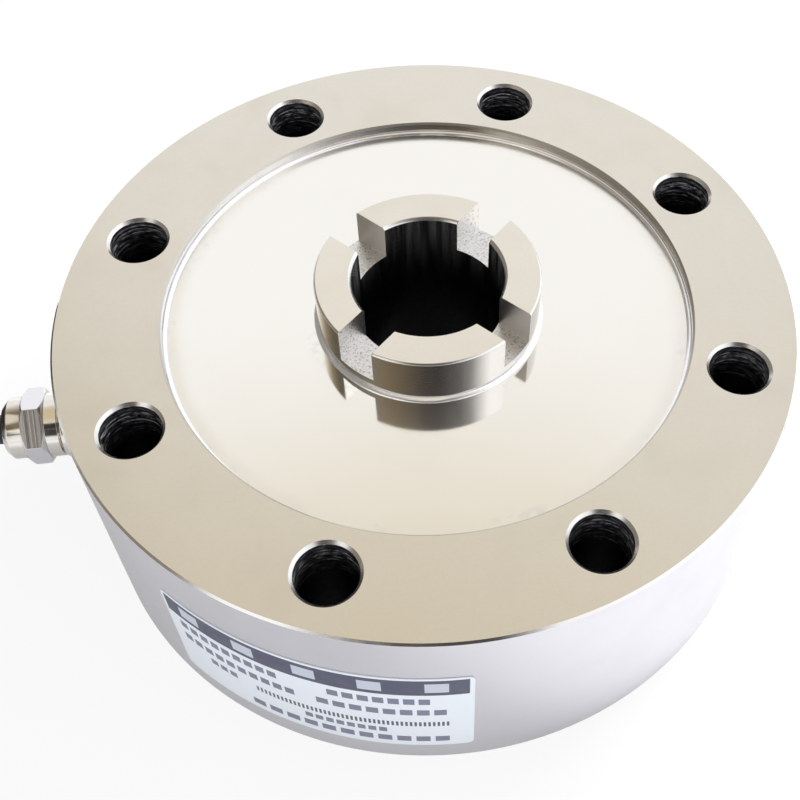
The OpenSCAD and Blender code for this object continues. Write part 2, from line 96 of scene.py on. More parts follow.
def place_camera():
    """Camera at the photograph's place, turned by its azimuth, height and roll."""
    sine, cosine = math.sin(CAMERA_AZIMUTH), math.cos(CAMERA_AZIMUTH)
    level = math.cos(CAMERA_HEIGHT)
    across = Vector((cosine, sine, 0))
    back = Vector((level * sine, -level * cosine, math.sin(CAMERA_HEIGHT)))
    turn = Matrix.Rotation(CAMERA_ROLL, 3, back)
    axes = Matrix((turn @ across, turn @ back.cross(across), back)).transposed()
    data = bpy.data.cameras.new("photo_camera")
    data.sensor_width = 36.0
    data.lens = CAMERA_LENS
    data.shift_x, data.shift_y = CAMERA_SHIFT
    data.clip_start = 0.01
    data.clip_end = 20.0
    camera = new_object("photo_camera", data)
    camera.matrix_world = Matrix.Translation(Vector(CAMERA_PLACE) * MM) @ axes.to_4x4()
    bpy.context.scene.camera = camera


# Modelling tools


def pick(obj):
    """Makes obj the one selected and active object."""
    if bpy.context.object and bpy.context.object.mode != "OBJECT":
        bpy.ops.object.mode_set(mode="OBJECT")
    bpy.ops.object.select_all(action="DESELECT")
    obj.select_set(True)
    bpy.context.view_layer.objects.active = obj


def settle(obj):
    """Puts a piece's place into its mesh, so that its object sits at the origin."""
    pick(obj)
    bpy.ops.object.transform_apply(location=True, rotation=True, scale=True)


def close_editing():
    """Turns every face outward and leaves edit mode."""
    bpy.ops.mesh.select_all(action="SELECT")
    bpy.ops.mesh.normals_make_consistent(inside=False)
    bpy.ops.object.mode_set(mode="OBJECT")


def turned(name, profile, segments=192, loop=True):
    """Piece turned about Z: a circle extruded from point to point of (radius, height).

    A loop ends where it began. Without it both ends are closed by a face.
    """
    bpy.ops.object.select_all(action="DESELECT")
    r, z = profile[0]
    bpy.ops.mesh.primitive_circle_add(vertices=segments, radius=r * MM, location=(0, 0, z * MM))
    obj = bpy.context.object
    obj.name = obj.data.name = name
    bpy.ops.object.transform_apply(location=True)
    bpy.ops.object.mode_set(mode="EDIT")
    bpy.ops.mesh.select_all(action="SELECT")
    if not loop:
        bpy.ops.mesh.edge_face_add()
    points = profile + profile[:1] if loop else profile
    for next_r, next_z in points[1:]:
        bpy.ops.mesh.extrude_edges_move(TRANSFORM_OT_translate={"value": (0, 0, (next_z - z) * MM)})
        ratio = next_r / r
        bpy.ops.transform.resize(value=(ratio, ratio, 1), center_override=(0, 0, 0))
        r, z = next_r, next_z
    if not loop:
        bpy.ops.mesh.edge_face_add()
    bpy.ops.mesh.select_all(action="SELECT")
    bpy.ops.mesh.remove_doubles(threshold=0.0005 * MM)
    close_editing()
    return obj


def block(name, low, high):
    """Straight block between two corners."""
    bpy.ops.object.select_all(action="DESELECT")
    middle = [(a + b) / 2 * MM for a, b in zip(low, high)]
    bpy.ops.mesh.primitive_cube_add(size=1, location=middle)
    obj = bpy.context.object
    obj.name = name
    obj.scale = [(b - a) * MM for a, b in zip(low, high)]
    settle(obj)
    return obj


def moved(obj, matrix):
    """Moves a piece's mesh and leaves its object at the origin."""
    obj.data.transform(matrix)
    return obj


def about_z(degrees):
    """Turn about the cell's axis."""
    return Matrix.Rotation(math.radians(degrees), 4, "Z")


def shift(x, y, z):
    """Move by so many millimetres."""
    return Matrix.Translation((x * MM, y * MM, z * MM))


def on_gland():
    """From standing on +Z to lying along -X at the gland's height."""
    return shift(0, 0, GLAND_Z) @ Matrix.Rotation(math.radians(-90), 4, "Y")


def joined(name, parts):
    """Several meshes as one object."""
    bpy.ops.object.select_all(action="DESELECT")
    for part in parts:
        part.select_set(True)
    bpy.context.view_layer.objects.active = parts[0]
    bpy.ops.object.join()
    parts[0].name = parts[0].data.name = name
    return parts[0]


def modify(obj, kind, **settings):
    """Adds a modifier with its settings and applies it."""
    step = obj.modifiers.new(kind.lower(), kind)
    for key, value in settings.items():
        setattr(step, key, value)
    pick(obj)
    bpy.ops.object.modifier_apply(modifier=step.name)


def combine(obj, tool, operation):
    """Cuts obj with the tool, or joins or crosses them, and uses the tool up."""
    modify(obj, "BOOLEAN", operation=operation, solver="EXACT", material_mode="TRANSFER", object=tool)
    bpy.data.objects.remove(tool)


def soften_edges(obj, width, segments=2):
    """Small rounding along every sharp edge."""
    modify(
        obj,
        "BEVEL",
        width=width * MM,
        segments=segments,
        limit_method="ANGLE",
        angle_limit=math.radians(28),
        use_clamp_overlap=False,
        miter_outer="MITER_ARC",
    )


def smooth(obj, limit=30, even=False):
    """Smooth shading up to an angle. Even keeps large faces flat beside their rounded edges."""
    pick(obj)
    bpy.ops.object.shade_smooth_by_angle(angle=math.radians(limit))
    if even:
        modify(obj, "WEIGHTED_NORMAL", keep_sharp=True)


def finish_piece(obj, nodes):
    """Puts a finished piece on the cell, for the CAD nodes that it stands for."""
    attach(obj, "root")
    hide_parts(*nodes)
    return obj


# Materials


def add_node(tree, kind, inputs=None, **settings):
    """Shader node with its settings, each input linked to a socket or set to a value."""
    node = tree.nodes.new("ShaderNode" + kind)
    for key, value in settings.items():
        setattr(node, key, value)
    for key, value in (inputs or {}).items():
        if isinstance(value, bpy.types.NodeSocket):
            tree.links.new(value, node.inputs[key])
        else:
            node.inputs[key].default_value = value
    return node


def lifted(color, lift):
    """Colour made paler or darker."""
    return [c * lift for c in color]


class Finish:
    """A material whose nodes are added step by step."""

    def __init__(self, name, color, metallic, roughness):
        self.mat = bpy.data.materials.new(name)
        self.mat.use_nodes = True
        self.tree = self.mat.node_tree
        self.shader = self.tree.nodes["Principled BSDF"]
        self.shader.inputs["Base Color"].default_value = (*color, 1)
        self.shader.inputs["Metallic"].default_value = metallic
        self.shader.inputs["Roughness"].default_value = roughness
        self.height = None

    def add(self, kind, inputs=None, **settings):
        return add_node(self.tree, kind, inputs, **settings)

    def feed(self, socket, value):
        """Links a value to one of the shader's sockets."""
        self.tree.links.new(value, self.shader.inputs[socket])

    def math(self, operation, *values):
        return self.add("Math", dict(enumerate(values)), operation=operation).outputs[0]

    def place(self):
        """Point on the surface, in metres from the cell's origin."""
        return self.add("TexCoord").outputs["Object"]

    def along(self, axis):
        """Place along one axis, in metres."""
        return self.add("SeparateXYZ", {0: self.place()}).outputs[axis]

    def radius(self):
        """Distance from the cell's axis, in metres."""
        flat = self.add("VectorMath", {0: self.place(), 1: (1, 1, 0)}, operation="MULTIPLY")
        return self.add("VectorMath", {0: flat.outputs[0]}, operation="LENGTH").outputs["Value"]

    def lines(self, value, pitch, detail=2.0, roughness=0.6):
        """Uneven lines, one about every pitch of the value."""
        scaled = self.math("MULTIPLY", value, 1 / (pitch * MM))
        return self.add(
            "TexNoise",
            {"W": scaled, "Scale": 1.0, "Detail": detail, "Roughness": roughness},
            noise_dimensions="1D",
        ).outputs["Fac"]

    def grain(self, size, detail=3.0, stretch=(1, 1, 1), roughness=0.55):
        """Noise with spots of about the given size, drawn out where stretch is small."""
        spread = self.add("Mapping", {"Vector": self.place(), "Scale": stretch}).outputs[0]
        return self.add(
            "TexNoise",
            {"Vector": spread, "Scale": 1 / (size * MM), "Detail": detail, "Roughness": roughness},
        ).outputs["Fac"]

    def ramp(self, value, low, high, start=0.0, end=1.0):
        """Goes from start to end, softly, while the value goes from low to high."""
        inputs = {0: value, 1: low, 2: high, 3: start, 4: end}
        return self.add("MapRange", inputs, interpolation_type="SMOOTHSTEP").outputs[0]

    def bump(self, height, distance):
        """Adds a height, in millimetres, over the bumps that are there."""
        inputs = {"Strength": 1.0, "Distance": distance * MM, "Height": height}
        if self.height:
            inputs["Normal"] = self.height
        self.height = self.add("Bump", inputs).outputs[0]
        self.feed("Normal", self.height)

    def tint(self, factor, color):
        """Mixes a colour in over what the surface has, by a factor."""
        socket = self.shader.inputs["Base Color"]
        under = socket.links[0].from_socket if socket.is_linked else tuple(socket.default_value)
        mix = self.add("Mix", {"Factor": factor, "A": under, "B": (*color, 1)}, data_type="RGBA")
        self.feed("Base Color", mix.outputs["Result"])

    def rough(self, factor, low, high):
        """Lets the roughness run from low to high with a factor."""
        inputs = {0: factor, 1: 0.3, 2: 0.7, 3: low, 4: high}
        self.feed("Roughness", self.add("MapRange", inputs).outputs[0])


def face_metal(name, lift):
    """Turned end faces: champagne nickel, satin, with faint rings."""
    f = Finish(name, lifted((0.766, 0.728, 0.645), lift), 1.0, 0.28)
    f.tint(f.ramp(f.grain(16, 2), 0.42, 0.62, 0, 0.35), lifted((0.765, 0.742, 0.668), lift))
    f.tint(f.ramp(f.grain(9, 2), 0.50, 0.85, 0, 0.30), lifted((0.660, 0.620, 0.540), lift))
    f.tint(f.ramp(f.grain(0.35, 2), 0.30, 0.70, 0, 0.40), lifted((0.725, 0.688, 0.608), lift))
    f.rough(f.grain(9, 3), 0.285, 0.345)
    f.bump(f.lines(f.radius(), 0.28, 1.0), 0.0010)
    return f.mat


def wall_metal():
    """Outer wall: pale satin nickel with fine lines round the cell."""
    f = Finish("satin_wall", (0.765, 0.758, 0.790), 1.0, 0.34)
    f.tint(f.ramp(f.grain(12, 3), 0.45, 0.70, 0, 0.35), (0.700, 0.695, 0.715))
    f.rough(f.grain(8, 3), 0.30, 0.40)
    f.bump(f.lines(f.along("Z"), 0.15), 0.0016)
    return f.mat


def hub_metal():
    """Hub's outer wall: finely turned and brighter."""
    f = Finish("turned_hub_wall", (0.78, 0.775, 0.77), 1.0, 0.11)
    f.tint(f.ramp(f.grain(5, 4, (1, 1, 0.4)), 0.50, 0.75, 0, 0.35), (0.62, 0.60, 0.60))
    f.bump(f.lines(f.along("Z"), 0.10), 0.0008)
    return f.mat


def bore_metal():
    """Ground bore: near black as painted shade deep in the bore, with streaks of painted light towards
    its mouth.
    """
    # Painted shade: the near-black colour stands for the shade inside the bore.
    f = Finish("ground_bore", (0.022, 0.021, 0.022), 1.0, 0.26)
    streak = f.ramp(f.grain(1.6, 3, (1, 1, 0.06)), 0.40, 0.65, 0.3, 1)
    # Painted light: the streaks turn paler and less metallic towards the mouth, where light reaches in.
    mouth = f.math("MULTIPLY", streak, f.ramp(f.along("Z"), 30 * MM, 43 * MM))
    f.tint(mouth, (0.15, 0.148, 0.15))
    f.feed("Metallic", f.math("MULTIPLY_ADD", mouth, -0.6, 1.0))
    f.rough(f.grain(2.2, 3, (1, 1, 0.12)), 0.20, 0.38)
    f.bump(f.grain(0.5, 2, (1, 1, 0.05)), 0.0015)
    return f.mat


def drilled_metal():
    """Drilled walls with torn rings: near black as painted shade, with grey patches of painted light and
    short painted glints in bright arcs below the mouth.
    """
    # Painted shade: the near-black colour stands for the shade inside the holes.
    f = Finish("drilled_wall", (0.060, 0.060, 0.063), 1.0, 0.34)
    rings = f.lines(f.along("Z"), 0.55, 4.0, 0.75)
    torn = f.grain(1.3, 5, (1, 1, 3), 0.68)
    mouth = f.ramp(f.along("Z"), 29 * MM, 37.2 * MM)
    # Painted light: grey patches on the torn rings, fading out below the mouth, where light reaches in.
    painted_mouth_light = f.math("MULTIPLY", f.ramp(torn, 0.36, 0.62), f.ramp(rings, 0.30, 0.60))
    painted_mouth_light = f.math("MULTIPLY", painted_mouth_light, mouth)
    # Painted glints: bright arcs on the crests of the rings, fading out below the mouth.
    painted_crest_glint = f.math("MULTIPLY", f.ramp(rings, 0.53, 0.61), f.ramp(torn, 0.46, 0.58))
    painted_crest_glint = f.math("MULTIPLY", painted_crest_glint, f.ramp(f.along("Z"), 29 * MM, 36 * MM))
    f.tint(painted_mouth_light, (0.20, 0.205, 0.22))
    f.tint(painted_crest_glint, (0.88, 0.89, 0.92))
    # Where light and glints are painted, the wall is made less metallic.
    painted_light_and_glints = f.math("MAXIMUM", painted_mouth_light, painted_crest_glint)
    f.feed("Metallic", f.math("MULTIPLY_ADD", painted_light_and_glints, -0.8, 1.0))
    f.rough(f.math("ADD", painted_crest_glint, f.grain(0.6, 3)), 0.29, 0.44)
    f.bump(rings, 0.03)
    f.bump(torn, 0.05)
    return f.mat


def chamfer_metal():
    """Countersunk edges: bright and plain."""
    f = Finish("cut_chamfer", (0.86, 0.85, 0.83), 1.0, 0.24)
    f.bump(f.grain(0.6, 3), 0.004)
    return f.mat


def edge_metal():
    """Broken edge of the recess, darker than the faces beside it: the darker colour is painted shade."""
    # Painted shade: a darker colour than the faces beside it, for the shade along the edge by the bead.
    f = Finish("recess_edge_shade", (0.62, 0.59, 0.53), 1.0, 0.32)
    f.bump(f.grain(0.5, 3), 0.003)
    return f.mat


def rim_edge_metal():
    """Turned edge between the rim's face and its wall: sharp and bright, its pale colour partly a
    painted highlight.
    """
    # Painted highlight: paler than the faces beside it, for the bright line along the edge; the low
    # roughness is the edge's own.
    f = Finish("rim_edge_highlight", (0.94, 0.915, 0.88), 1.0, 0.13)
    f.rough(f.grain(1.5, 3), 0.10, 0.18)
    f.bump(f.grain(0.8, 3), 0.003)
    return f.mat


def milled_metal():
    """Slot walls that the cutter left smooth."""
    f = Finish("milled_slot", (0.80, 0.785, 0.77), 1.0, 0.20)
    f.rough(f.grain(0.8, 3), 0.28, 0.40)
    f.bump(f.grain(0.30, 4), 0.008)
    return f.mat


def torn_metal(name, lift):
    """Slot walls and floors that the cutter left torn: pale, with a coarse glittering grain. The
    paleness is partly painted light on the walls that face the bright side, and a lift below 1 paints a
    darker copy as shade on the floors.
    """
    f = Finish(name, lifted((1.0, 0.995, 0.99), lift), 1.0, 0.22)
    grain = f.grain(0.30, 5, roughness=0.75)
    f.tint(f.ramp(grain, 0.525, 0.61, 0, 0.85), lifted((0.40, 0.39, 0.385), lift))
    f.rough(grain, 0.28, 0.42)
    f.bump(grain, 0.03)
    return f.mat


def cover_metal():
    """Cover sheet: nearly a mirror, cream, faintly smeared grey beside the welds, with a little painted
    shade by the rim's wall.
    """
    f = Finish("mirror_cover", (0.900, 0.880, 0.820), 1.0, 0.085)
    r = f.radius()
    outer = f.ramp(r, (RECESS_R - 3.2) * MM, (RECESS_R - 1.2) * MM)
    inner = f.ramp(r, (HUB_R + 3.0) * MM, (HUB_R + 1.2) * MM)
    near_weld = f.math("MAXIMUM", outer, inner)
    patches = f.ramp(f.grain(11, 2), 0.50, 0.68)
    smear = f.ramp(f.grain(1.8, 4, roughness=0.6), 0.44, 0.72)
    smear = f.math("MULTIPLY", f.math("MULTIPLY", near_weld, patches), smear)
    f.tint(f.math("MULTIPLY", smear, 0.45), (0.66, 0.66, 0.69))
    f.tint(f.ramp(f.grain(18, 2), 0.50, 0.75, 0, 0.4), (0.86, 0.84, 0.77))
    dull_and_shade = f.ramp(r, (RECESS_R - 3.4) * MM, (RECESS_R - 1.0) * MM, 0, 0.155)
    even = f.ramp(f.grain(6, 4), 0.3, 0.7, 0.07, 0.11)
    f.feed("Roughness", f.math("ADD", dull_and_shade, even))
    # Painted shade: the cover turns a little darker towards the rim's wall; the roughness there is the
    # cover's own.
    f.tint(dull_and_shade, (0.80, 0.77, 0.72))
    f.bump(f.grain(9, 2), 0.010)
    return f.mat


def weld_metal():
    """Weld bead: bright smooth silver."""
    f = Finish("weld_bead", (0.97, 0.97, 0.99), 0.85, 0.20)
    f.rough(f.grain(0.8, 3), 0.15, 0.26)
    f.bump(f.grain(0.5, 3), 0.0015)
    return f.mat


def nickel_round():
    """Plated round surfaces of the gland: bright, with fine turning lines."""
    f = Finish("plated_round", (0.83, 0.80, 0.745), 1.0, 0.12)
    f.tint(f.ramp(f.grain(2.5, 3, (0.5, 1, 1)), 0.45, 0.70, 0, 0.4), (0.70, 0.66, 0.57))
    f.bump(f.lines(f.along("X"), 0.12), 0.0010)
    f.rough(f.grain(1.2, 3), 0.09, 0.18)
    return f.mat


def nickel_flat():
    """Plated flats of the nut, plain and smooth."""
    f = Finish("plated_flat", (0.82, 0.81, 0.84), 1.0, 0.20)
    f.rough(f.grain(1.5, 3), 0.16, 0.26)
    return f.mat


def nickel_scored():
    """The nut's flat that a tool has scored from edge to edge."""
    f = Finish("scored_flat", (0.74, 0.71, 0.68), 1.0, 0.20)
    scored = f.lines(f.along("X"), 0.42, 4.0, 0.75)
    f.tint(f.ramp(scored, 0.50, 0.56, 0, 0.8), (0.30, 0.26, 0.22))
    f.rough(scored, 0.14, 0.24)
    f.bump(scored, 0.16)
    return f.mat


def cable_jacket():
    """Black jacket of the cable, matt and finely grained."""
    f = Finish("cable_jacket", (0.016, 0.016, 0.017), 0.0, 0.42)
    f.rough(f.grain(3, 3), 0.36, 0.50)
    f.bump(f.grain(0.35, 3), 0.012)
    return f.mat


def plain_plastic(name, color, roughness=0.4, grain=0.5):
    """Plastic or rubber of one colour."""
    f = Finish(name, color, 0.0, roughness)
    f.rough(f.grain(grain * 4, 2), roughness - 0.06, roughness + 0.06)
    f.bump(f.grain(grain, 2), 0.006)
    return f.mat


def tinned_copper():
    """Tinned strands of the bare wires."""
    f = Finish("tinned_copper", (0.80, 0.79, 0.77), 1.0, 0.30)
    f.bump(f.grain(0.25, 3), 0.02)
    return f.mat


FACE = face_metal("turned_face", 1.0)
HUB_FACE = face_metal("hub_face", 1.07)
WALL = wall_metal()
HUB_WALL = hub_metal()
BORE = bore_metal()
DRILLED = drilled_metal()
CHAMFER = chamfer_metal()
MILLED = milled_metal()
# Painted light, in part: this pale finish goes only on the slot walls that face the bright side.
TORN = torn_metal("torn_wall_lit_side", 1.0)
# Painted shade: the slots' floors take the torn finish darkened to four fifths.
SHADED_SLOT_FLOOR = torn_metal("shaded_slot_floor", 0.80)
EDGE = edge_metal()
RIM_EDGE = rim_edge_metal()
BODY_FINISHES = (
    FACE, HUB_FACE, WALL, HUB_WALL, BORE, DRILLED, CHAMFER, MILLED, TORN, SHADED_SLOT_FLOOR, EDGE, RIM_EDGE,
)


# Body


def spoke_outline():
    """Plan of one spoke along +X, flared into the hub and the rim by its fillets."""
    half, fillet, sink, steps = 5.0, 2.5, 0.6, 8
    centre_y = half + fillet
    hub_x = math.sqrt((CORE_R + fillet) ** 2 - centre_y**2)
    rim_x = math.sqrt((CAVITY_R - fillet) ** 2 - centre_y**2)
    side = []
    for x, at_hub in ((hub_x, True), (rim_x, False)):
        reach = math.degrees(math.atan2(centre_y, x))
        sweep = reach - 90 if at_hub else reach + 90
        arc = []
        for i in range(steps + 1):
            angle = math.radians(-90 + sweep * i / steps)
            arc.append((x + fillet * math.cos(angle), centre_y + fillet * math.sin(angle)))
        side += reversed(arc) if at_hub else arc
    inner = (CORE_R - sink) / math.hypot(*side[0])
    outer = (CAVITY_R + sink) / math.hypot(*side[-1])
    first = (side[0][0] * inner, side[0][1] * inner)
    last = (side[-1][0] * outer, side[-1][1] * outer)
    side = [first] + side + [last]
    return side + [(x, -y) for x, y in reversed(side)]


def spoke(turn):
    """One spoke, extruded upwards from its plan."""
    outline = spoke_outline()
    mesh = bpy.data.meshes.new("spoke")
    mesh.from_pydata([(x * MM, y * MM, SPOKE_LOW * MM) for x, y in outline], [], [range(len(outline))])
    obj = new_object("spoke", mesh)
    pick(obj)
    bpy.ops.object.mode_set(mode="EDIT")
    bpy.ops.mesh.select_all(action="SELECT")
    bpy.ops.mesh.extrude_region_move(TRANSFORM_OT_translate={"value": (0, 0, SPOKE_TALL * MM)})
    close_editing()
    obj.data.materials.append(WALL)
    return moved(obj, about_z(turn))


def drill(number):
    """Tool that leaves one mounting hole: chamfers, and a few torn rings below the mouth."""
    luck = random.Random(40 + number)
    past = 0.05
    wide = HOLE_R + (HOLE_EDGE + past)
    points = [(wide, -past), (HOLE_R, HOLE_EDGE), (HOLE_R, BODY_H - 9)]
    for depth in (6.4, 4.3, 3.1, 1.9, 1.2):
        z = BODY_H - depth + luck.uniform(-0.25, 0.25)
        gouge = luck.choice((0.025, 0.04, 0.06, 0.09))
        points += [(HOLE_R, z - gouge - 0.05), (HOLE_R + gouge, z), (HOLE_R, z + 0.1)]
    points += [(HOLE_R, BODY_H - HOLE_EDGE), (wide, BODY_H + past)]
    obj = turned(f"drill_{number}", points, 64, loop=False)
    obj.data.materials.append(DRILLED)
    turn = HOLE_TURN + 45 * number
    return moved(obj, about_z(turn) @ shift(HOLE_CIRCLE_R, 0, 0))


def slot_cutter(turn):
    """Tool for one slot through the hub's wall, from inside the bore to outside the hub."""
    inside, outside = 5.4, 24
    obj = block("slot", (inside, -SLOT_W / 2, SLOT_FLOOR), (outside, SLOT_W / 2, HUB_TOP + 1))
    obj.data.materials.append(MILLED)
    return moved(obj, about_z(turn))


def gland_port():
    """Stepped tool for the spot face, the threaded port and the cable passage."""
    passage, port, spot = 2.7, 4.0, 6.25
    inner_end, port_end, spot_face, outside = 31.0, 43.5, 52.5, 57.0
    points = [
        (passage, inner_end), (passage, port_end), (port, port_end),
        (port, spot_face), (spot, spot_face), (spot, outside),
    ]
    obj = turned("port", points, 64, loop=False)
    obj.data.materials.append(CHAMFER)
    return moved(obj, on_gland())


def paint_body(obj):
    """Gives each face of the body its finish by what cut it, where it is and which way it looks."""
    for finish in BODY_FINISHES:
        if finish.name not in obj.data.materials:
            obj.data.materials.append(finish)
    slots = {finish.name: index for index, finish in enumerate(obj.data.materials)}
    drilled, milled = slots[DRILLED.name], slots[MILLED.name]
    for face in obj.data.polygons:
        x, y, z = (c / MM for c in face.center)
        r, up = math.hypot(x, y), abs(face.normal.z)
        finish = obj.data.materials[face.material_index]
        if face.material_index == drilled:
            if 0.4 < up < 0.9 and min(z, BODY_H - z) < HOLE_EDGE + 0.13:
                finish = CHAMFER
        elif face.material_index == milled:
            if up > 0.9:
                finish = SHADED_SLOT_FLOOR
            # Painted light: only the slot walls facing right and front, towards the bright side of the
            # room, take the pale torn finish; the walls facing the other ways keep the darker milled
            # one.
            elif face.normal.x - face.normal.y > 1:
                finish = TORN
        elif up > 0.9:
            finish = FACE if r > HUB_R + 1 else HUB_FACE
        elif r > BODY_R - 1.5:
            finish = WALL if up < 0.3 else RIM_EDGE
        elif r < BORE_R + 0.1:
            finish = BORE
        elif r < HUB_R + 0.1:
            finish = HUB_WALL if up < 0.3 else CHAMFER
        else:
            finish = HUB_WALL if up < 0.3 else EDGE
        face.material_index = slots[finish.name]


def cell_body():
    """Rim, spokes and hub as one machined piece."""
    rim = turned(
        "cell_body",
        [
            (CAVITY_R, CAVITY_LOW), (RECESS_R, CAVITY_LOW),
            (RECESS_R, RECESS_EDGE), (RECESS_R + RECESS_EDGE, 0),
            (BODY_R - RIM_LOW_EDGE, 0), (BODY_R, RIM_LOW_EDGE),
            (BODY_R, BODY_H - RIM_TOP_EDGE), (BODY_R - RIM_TOP_EDGE, BODY_H),
            (RECESS_R + RECESS_EDGE, BODY_H), (RECESS_R, BODY_H - RECESS_EDGE),
            (RECESS_R, COVER_LOW), (CAVITY_R, COVER_LOW),
        ],
        256,
    )
    hub = turned(
        "hub",
        [
            (BORE_R, HUB_LOW + BORE_EDGE), (BORE_R + BORE_EDGE, HUB_LOW),
            (HUB_R - HUB_EDGE, HUB_LOW), (HUB_R, HUB_LOW + HUB_EDGE),
            (HUB_R, CAVITY_LOW), (CORE_R, CAVITY_LOW), (CORE_R, COVER_LOW), (HUB_R, COVER_LOW),
            (HUB_R, HUB_TOP - HUB_EDGE), (HUB_R - HUB_EDGE, HUB_TOP),
            (BORE_R + BORE_EDGE, HUB_TOP), (BORE_R, HUB_TOP - BORE_EDGE),
        ],
        160,
    )
    for part in (rim, hub):
        part.data.materials.append(WALL)
    for i in range(4):
        combine(hub, slot_cutter(45 + 90 * i), "DIFFERENCE")
    soften_edges(hub, 0.05)
    combine(rim, joined("drills", [drill(i) for i in range(8)]), "DIFFERENCE")
    combine(rim, gland_port(), "DIFFERENCE")
    combine(rim, joined("spokes", [spoke(45 + 90 * i) for i in range(4)]), "UNION")
    combine(rim, hub, "UNION")
    paint_body(rim)
    smooth(rim, even=True)
    finish_piece(rim, ["spring_element"])


# Covers and welds


def cover(name, seed):
    """Upper cover: a thin ring of bright sheet, with the slight waves that welding leaves."""
    inner, outer = HUB_R + COVER_GAP, RECESS_R - COVER_GAP
    steps, wave_height, wave_length = 22, 0.010, 13
    top = [(outer + (inner - outer) * i / steps, COVER_TOP) for i in range(steps + 1)]
    obj = turned(name, [(inner, COVER_LOW), (outer, COVER_LOW)] + top)
    for v in obj.data.vertices:
        if v.co.z > (COVER_TOP - 0.05) * MM:
            place = Vector((v.co.x, v.co.y, seed)) / (wave_length * MM)
            v.co.z += wave_height * MM * noise.noise(place)
    obj.data.materials.append(cover_metal())
    smooth(obj)
    return obj


# Sections of the two beads: distance from the wall, and height over the cover
RIM_BEAD = [
    (0, 0.30), (0.07, 0.36), (0.13, 0.385), (0.19, 0.38), (0.28, 0.345), (0.38, 0.285),
    (0.47, 0.205), (0.54, 0.12), (0.58, 0.045), (0.60, 0), (0, 0),
]
HUB_BEAD = [
    (0, 0.46), (0.10, 0.405), (0.22, 0.335), (0.34, 0.262), (0.43, 0.20), (0.50, 0.135),
    (0.545, 0.06), (0.56, 0), (0, 0),
]

# The two beads on a cover: name, section, radius of the wall, side of the bead, faces round it
BEADS = (
    ("rim", RIM_BEAD, RECESS_R, -1, 720),
    ("hub", HUB_BEAD, HUB_R, 1, 480),
)


def weld_bead(name, section, radius, side, segments, seed):
    """Smooth bead in the corner at a radius, on the upper cover, with a faint ripple."""
    arc = [(radius + side * t, COVER_TOP + height) for t, height in section]
    obj = turned(name, arc, segments)
    ripple_length, foot = 0.8, 0.02
    ripples = round(2 * math.pi * radius / ripple_length)
    for v in obj.data.vertices:
        x, y, z = v.co / MM
        lift = z - COVER_TOP
        if lift < foot:
            continue
        angle = math.atan2(y, x)
        across = abs(math.hypot(x, y) - radius)
        wander = noise.noise(Vector((x, y, seed)) / 6)
        ripple = math.sin(ripples * angle + 2 * wander + 2 * across**2)
        lift *= 0.98 + 0.06 * wander + 0.010 * ripple
        spread = min(1 + 0.12 * noise.noise(Vector((x, y, seed + 9)) / 4), 1.04)
        r = radius + side * across * spread
        v.co = Vector((r * math.cos(angle), r * math.sin(angle), COVER_TOP + lift)) * MM
    obj.data.materials.append(weld_metal())
    smooth(obj, 50)
    return obj


def covers_and_welds():
    """Both covers with their beads, the lower ones made like the upper ones and turned over."""
    finish_piece(cover("upper_cover", 0.3), ["top_cover"])
    over = Matrix.Translation((0, 0, BODY_H * MM)) @ Matrix.Rotation(math.pi, 4, "X")
    lower = moved(cover("lower_cover", 7.3), over)
    finish_piece(lower, ["bottom_cover"])
    for seed, (place, *shape) in enumerate(BEADS):
        bead = weld_bead(f"upper_{place}_bead", *shape, 2.0 + seed)
        finish_piece(bead, [f"top_{place}_weld"])
        bead = moved(weld_bead(f"lower_{place}_bead", *shape, 5.0 + seed), over)
        finish_piece(bead, [f"bottom_{place}_weld"])


# Gland


def gland_body():
    """Flange with its shank in the rim and its threaded sleeve outside, bored for the cable."""
    points = [
        (2.7, 44.5), (3.45, 44.5), (3.95, 45.0), (3.95, 53.1), (4.9, 53.1), (5.1, 53.3), (5.1, 55.9),
        (4.9, 56.1), (3.95, 56.1), (3.95, 60.4), (3.65, 60.7), (3.25, 60.7), (3.25, 58.9), (2.7, 58.3),
    ]
    obj = turned("gland_flange", points, 96)
    soften_edges(obj, 0.08)
    obj.data.materials.append(nickel_round())
    moved(obj, on_gland())
    smooth(obj, even=True)
    finish_piece(obj, ["gland_body"])


